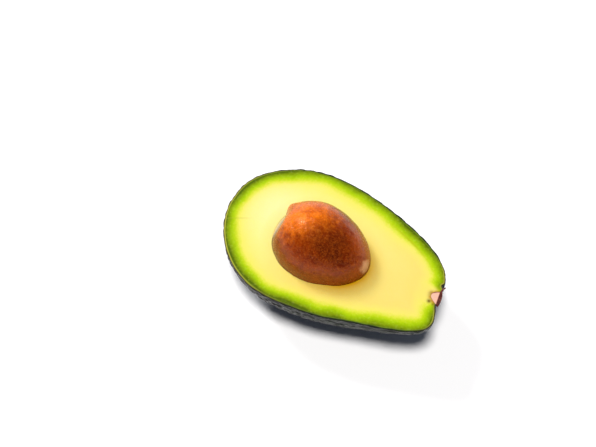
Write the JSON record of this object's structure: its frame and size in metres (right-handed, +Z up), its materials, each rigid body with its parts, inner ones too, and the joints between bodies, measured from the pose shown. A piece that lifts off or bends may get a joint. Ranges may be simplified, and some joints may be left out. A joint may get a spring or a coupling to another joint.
{
  "type": "avocado half with seed",
  "caption": "Half an avocado cut lengthwise, lying on its back, with pebbled dark skin, pale flesh, its seed in the hollow and the halved stub of the stem.",
  "frame": {"origin": "bottom centre of the whole part's box, on the surface it lies on", "axes": "+X runs along the fruit from its broad base to the stem end, +Y is to the left of that, +Z is up, square to the cut face"},
  "size_m": [0.1072, 0.0686, 0.052],
  "materials": {
    "skin": "dark green to purple-black pebbled rind, waxy gloss on the pebbles",
    "flesh": "moist cut flesh, pale yellow in the middle and green towards the skin",
    "seed": "brown papery seed coat with fine veins, soft gloss",
    "stem": "freshly cut stem, pink-tan inside with a dark corky outside"
  },
  "bodies": {
    "root": {"skin": "skin", "flesh": "flesh", "seed": "seed", "stem": "stem"}
  },
  "joints": []
}
